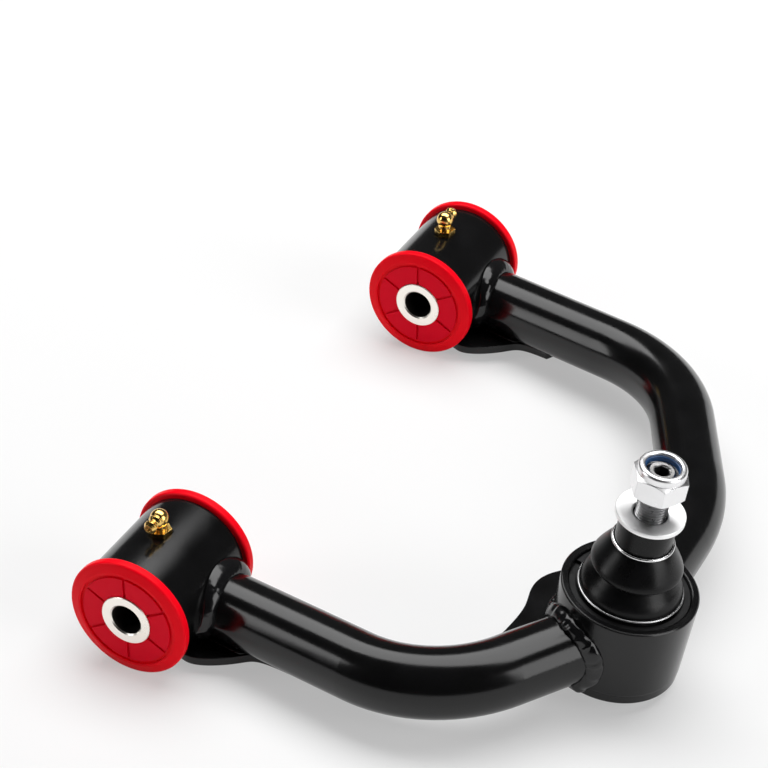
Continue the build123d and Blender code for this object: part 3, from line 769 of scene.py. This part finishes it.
def make_nut():
    """The lock nut: a hexagon with chamfered corners and a collar crimped over its ring."""
    steps, round_steps = 192, 8
    bottom, hex_top, top = 55.2, 65.9, 69.7
    half_flats, foot_r, collar_r, lip_r, nut_bore_r = 11.0, 10.6, 10.6, 7.7, 7.1
    chamfer_slope, collar_round = 0.58, 1.6
    ring_seat_r, ring_seat_top, ring_seat_floor = 9.0, top - 1.4, top - 4.2
    local = [joint_frame.inverted() @ v.co for v in frame["nodes"]["lock_nut"].data.vertices]
    corner = max(local, key=lambda v: hypot(v.x, v.y))
    corner_angle = atan2(corner.y, corner.x)
    collar = [(collar_r, hex_top + 0.5), (collar_r, top - collar_round)]
    for i in range(1, round_steps + 1):
        angle = pi / 2 * i / round_steps
        inset = collar_round - collar_round * cos(angle)
        collar.append((collar_r - inset, top - collar_round + collar_round * sin(angle)))
    collar += [
        (8.5, top), (8.0, top - 0.12), (lip_r, top - 0.5), (lip_r, ring_seat_top),
        (ring_seat_r, ring_seat_top), (ring_seat_r, ring_seat_floor), (nut_bore_r, ring_seat_floor),
        (nut_bore_r, bottom + 0.8), (7.9, bottom),
    ]
    points = []
    for k in range(steps):
        turn = 2 * pi * k / steps
        hex_r = half_flats / cos((turn % (pi / 3)) - pi / 6)
        outline = [
            (foot_r, bottom),
            (hex_r, bottom + (hex_r - foot_r) * chamfer_slope),
            (hex_r, hex_top - (hex_r - collar_r) * chamfer_slope),
            (collar_r, hex_top),
        ] + collar
        for radius, height in outline:
            points.append(on_joint(radius, corner_angle + turn, height))
    faces = []
    rows = len(points) // steps
    for k in range(steps):
        here, beyond = k * rows, (k + 1) % steps * rows
        for i in range(rows):
            j = (i + 1) % rows
            faces.append((here + i, beyond + i, beyond + j, here + j))
    piece = mesh_piece("chamfered_nut", points, faces, zinc_plate, sharp=38)
    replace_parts(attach(piece, "lock_nut"), "lock_nut")


def make_nylon_ring():
    """The lock nut's nylon ring, with a rounded upper edge on its bore."""
    profile = [
        (7.05, 65.7), (8.95, 65.7), (8.95, 68.2), (7.7, 68.22), (7.25, 68.14), (7.08, 67.95), (7.05, 67.7),
    ]
    points, faces = turned(profile)
    piece = mesh_piece("nylon_lock_ring", points, faces, insert_nylon, sharp=50)
    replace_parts(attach(piece, "nut_thread"), "nylon_insert")


def make_check_spring(name):
    """The wire spring behind a grease nipple's check ball, between the nipple and the ball."""
    shape = [v.co for v in frame["nodes"][f"{name}_check_spring"].data.vertices]
    middle = Vector([min(v[i] for v in shape) + max(v[i] for v in shape) for i in range(3)]) / 2
    inward = Vector(joints[f"{name}_check_slide"]["axis"]).normalized()
    aside = inward.orthogonal().normalized()
    coil_r, wire_r, length = 1.17 * MM, 0.17 * MM, 2.6 * MM
    turns, count, around_wire = 4, 128, 8
    ball_end = middle - inward * length / 2
    points = []
    for k in range(count + 1):
        radial = Matrix.Rotation(2 * pi * turns * k / count, 3, inward) @ aside
        place = ball_end + inward * (wire_r + (length - 2 * wire_r) * k / count) + radial * coil_r
        for i in range(around_wire):
            angle = 2 * pi * i / around_wire
            points.append(place + wire_r * (cos(angle) * radial + sin(angle) * inward))
    faces = ring_faces(count + 1, around_wire)
    last = count * around_wire
    faces += [tuple(range(around_wire)), tuple(last + i for i in reversed(range(around_wire)))]
    piece = mesh_piece(f"{name}_check_coil", points, faces, bright_wire, sharp=60)
    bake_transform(piece)
    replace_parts(piece, f"{name}_check_spring")


make_stud()
make_washer()
make_nut()
make_nylon_ring()
make_check_spring("front")
make_check_spring("rear")


# ---- floor, lights and camera --------------------------------------------------------
def shown_ray(tree):
    """1 for a ray that shows the background: seen by the camera, in a gloss or through glass."""
    path = tree.nodes.new("ShaderNodeLightPath")
    seen = math_node(tree, "ADD", path.outputs["Is Camera Ray"], path.outputs["Is Glossy Ray"])
    seen = math_node(tree, "ADD", seen, path.outputs["Is Transmission Ray"])
    return math_node(tree, "MINIMUM", seen, 1.0)


def make_floor():
    """A pale floor that takes the arm's shadow and goes over into white away from it."""
    half = 4.0
    white_share, fade_start, fade_end = 0.4, 0.3, 1.2  # near the arm, and the fade to all white
    mesh = bpy.data.meshes.new("floor")
    mesh.from_pydata(
        [(-half, -half, floor_z), (half, -half, floor_z), (half, half, floor_z), (-half, half, floor_z)],
        [], [(0, 1, 2, 3)],
    )
    floor = bpy.data.objects.new("floor", mesh)
    scene.collection.objects.link(floor)
    material = bpy.data.materials.new("pale_floor")
    material.use_nodes = True
    tree = material.node_tree
    tree.nodes.clear()
    base = tree.nodes.new("ShaderNodeBsdfDiffuse")
    base.inputs["Color"].default_value = (0.80, 0.80, 0.80, 1)
    glow = tree.nodes.new("ShaderNodeEmission")
    glow.inputs["Strength"].default_value = 1.0
    blend = tree.nodes.new("ShaderNodeMixShader")
    out = tree.nodes.new("ShaderNodeOutputMaterial")
    where = tree.nodes.new("ShaderNodeNewGeometry")
    away = tree.nodes.new("ShaderNodeVectorMath")
    away.operation = "LENGTH"
    tree.links.new(where.outputs["Position"], away.inputs[0])
    fade = tree.nodes.new("ShaderNodeMapRange")
    fade.inputs["From Min"].default_value = fade_start
    fade.inputs["From Max"].default_value = fade_end
    fade.inputs["To Min"].default_value = white_share
    tree.links.new(away.outputs["Value"], fade.inputs["Value"])
    white = math_node(tree, "MULTIPLY", shown_ray(tree), fade.outputs["Result"])
    tree.links.new(white, blend.inputs["Fac"])
    tree.links.new(base.outputs[0], blend.inputs[1])
    tree.links.new(glow.outputs[0], blend.inputs[2])
    tree.links.new(blend.outputs[0], out.inputs["Surface"])
    mesh.materials.append(material)


def make_world():
    """A white backdrop behind the arm that falls off to a dark room above and in front."""
    white_below, dark_above, dark, rise_behind, fill = -0.10, 0.30, 0.02, 0.7, 0.12
    world = bpy.data.worlds.new("studio")
    scene.world = world
    world.use_nodes = True
    tree = world.node_tree
    background = tree.nodes["Background"]
    where = tree.nodes.new("ShaderNodeTexCoord")
    parts = tree.nodes.new("ShaderNodeSeparateXYZ")
    tree.links.new(where.outputs["Generated"], parts.inputs[0])
    fall = tree.nodes.new("ShaderNodeMapRange")
    fall.inputs["From Min"].default_value = white_below
    fall.inputs["From Max"].default_value = dark_above
    fall.inputs["To Min"].default_value = 1.0
    fall.inputs["To Max"].default_value = dark
    behind = math_node(tree, "MULTIPLY", parts.outputs["Y"], rise_behind)
    tree.links.new(math_node(tree, "SUBTRACT", parts.outputs["Z"], behind), fall.inputs["Value"])
    path = tree.nodes.new("ShaderNodeLightPath")
    lift = tree.nodes.new("ShaderNodeMix")
    lift.inputs["B"].default_value = 1.0
    tree.links.new(path.outputs["Is Camera Ray"], lift.inputs["Factor"])
    shown = tree.nodes.new("ShaderNodeMix")
    shown.inputs["A"].default_value = fill
    tree.links.new(shown_ray(tree), shown.inputs["Factor"])
    tree.links.new(fall.outputs["Result"], lift.inputs["A"])
    tree.links.new(lift.outputs["Result"], shown.inputs["B"])
    tree.links.new(shown.outputs["Result"], background.inputs["Strength"])


def softbox(name, place, aim, size, radiance):
    """An area lamp of an even radiance."""
    lamp = bpy.data.lights.new(name, "AREA")
    lamp.shape = "RECTANGLE"
    lamp.size, lamp.size_y = size
    lamp.energy = radiance * 4 * size[0] * size[1]
    obj = bpy.data.objects.new(name, lamp)
    obj.location = place
    obj.rotation_euler = (aim - place).to_track_quat("-Z", "Y").to_euler()
    scene.collection.objects.link(obj)


def around(azimuth, elevation, distance):
    """A place round the arm. Azimuth 0 lies towards -Y and 90 towards +X."""
    a, e = radians(azimuth), radians(elevation)
    return arm_middle + distance * Vector((sin(a) * cos(e), -cos(a) * cos(e), sin(e)))


def make_camera():
    """The camera, turned to a point under the pivot axis, on the rear bushing's side."""
    azimuth, elevation, distance = radians(27.177), radians(34.693), 1.3137
    target = Vector((-0.0015, 0.0764, -0.029))
    lens, sensor, nearest = 118.53, 36.0, 0.05
    camera = bpy.data.objects.new("camera", bpy.data.cameras.new("camera"))
    camera.data.lens = lens
    camera.data.sensor_width = sensor
    camera.data.clip_start = nearest
    back = Vector((sin(azimuth) * cos(elevation), -cos(azimuth) * cos(elevation), sin(elevation)))
    camera.location = target + back * distance
    camera.rotation_euler = (pi / 2 - elevation, 0, azimuth)
    scene.collection.objects.link(camera)
    scene.camera = camera


make_floor()
make_world()
arm_middle = Vector((0.09, 0.0, 0.0))
overhead = arm_middle + Vector((-0.45, 1.2, 3.0))
strip_distance = 3.0
softbox("overhead_panel", overhead, overhead - Vector((0, 0, 1)), (4.6, 2.5), 3.7)
softbox("left_strip", around(-52, 22, strip_distance), arm_middle, (0.85, 1.6), 3.0)
softbox("right_strip", around(86, 20, strip_distance), arm_middle, (1.6, 2.0), 3.0)
make_camera()
scene.view_settings.view_transform = "Standard"
